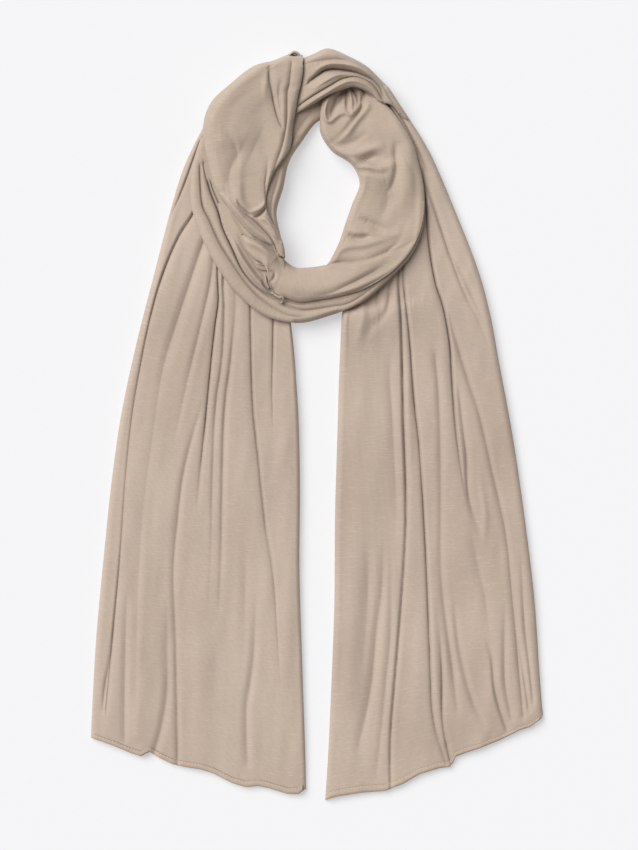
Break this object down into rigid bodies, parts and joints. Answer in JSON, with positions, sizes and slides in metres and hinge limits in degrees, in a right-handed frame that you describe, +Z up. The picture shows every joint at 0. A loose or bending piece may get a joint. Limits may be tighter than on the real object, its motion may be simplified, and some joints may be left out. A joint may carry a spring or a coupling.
{
  "type": "jersey scarf",
  "caption": "Long soft jersey scarf, looped once into a ring for the neck with both hemmed tails hanging side by side, lying flat.",
  "frame": {"origin": "middle of the footprint, on the surface that the scarf lies on", "axes": "+Y from the two hems up to the back of the neck, +Z up out of the surface"},
  "size_m": [0.416, 0.6916, 0.0281],
  "materials": {
    "jersey": "soft slub jersey, matt",
    "hem": "turned and stitched jersey hem, matt"
  },
  "bodies": {
    "root": {"left_tail_under": "jersey", "right_tail_under": "jersey", "left_tail": "jersey", "right_tail": "jersey", "left_hem": "hem", "right_hem": "hem", "neck_under": "jersey", "ring_band": "jersey", "front_right": "jersey", "neck_over": "jersey", "front_folds": "jersey", "front_left": "jersey", "front_roll": "jersey"}
  },
  "joints": []
}
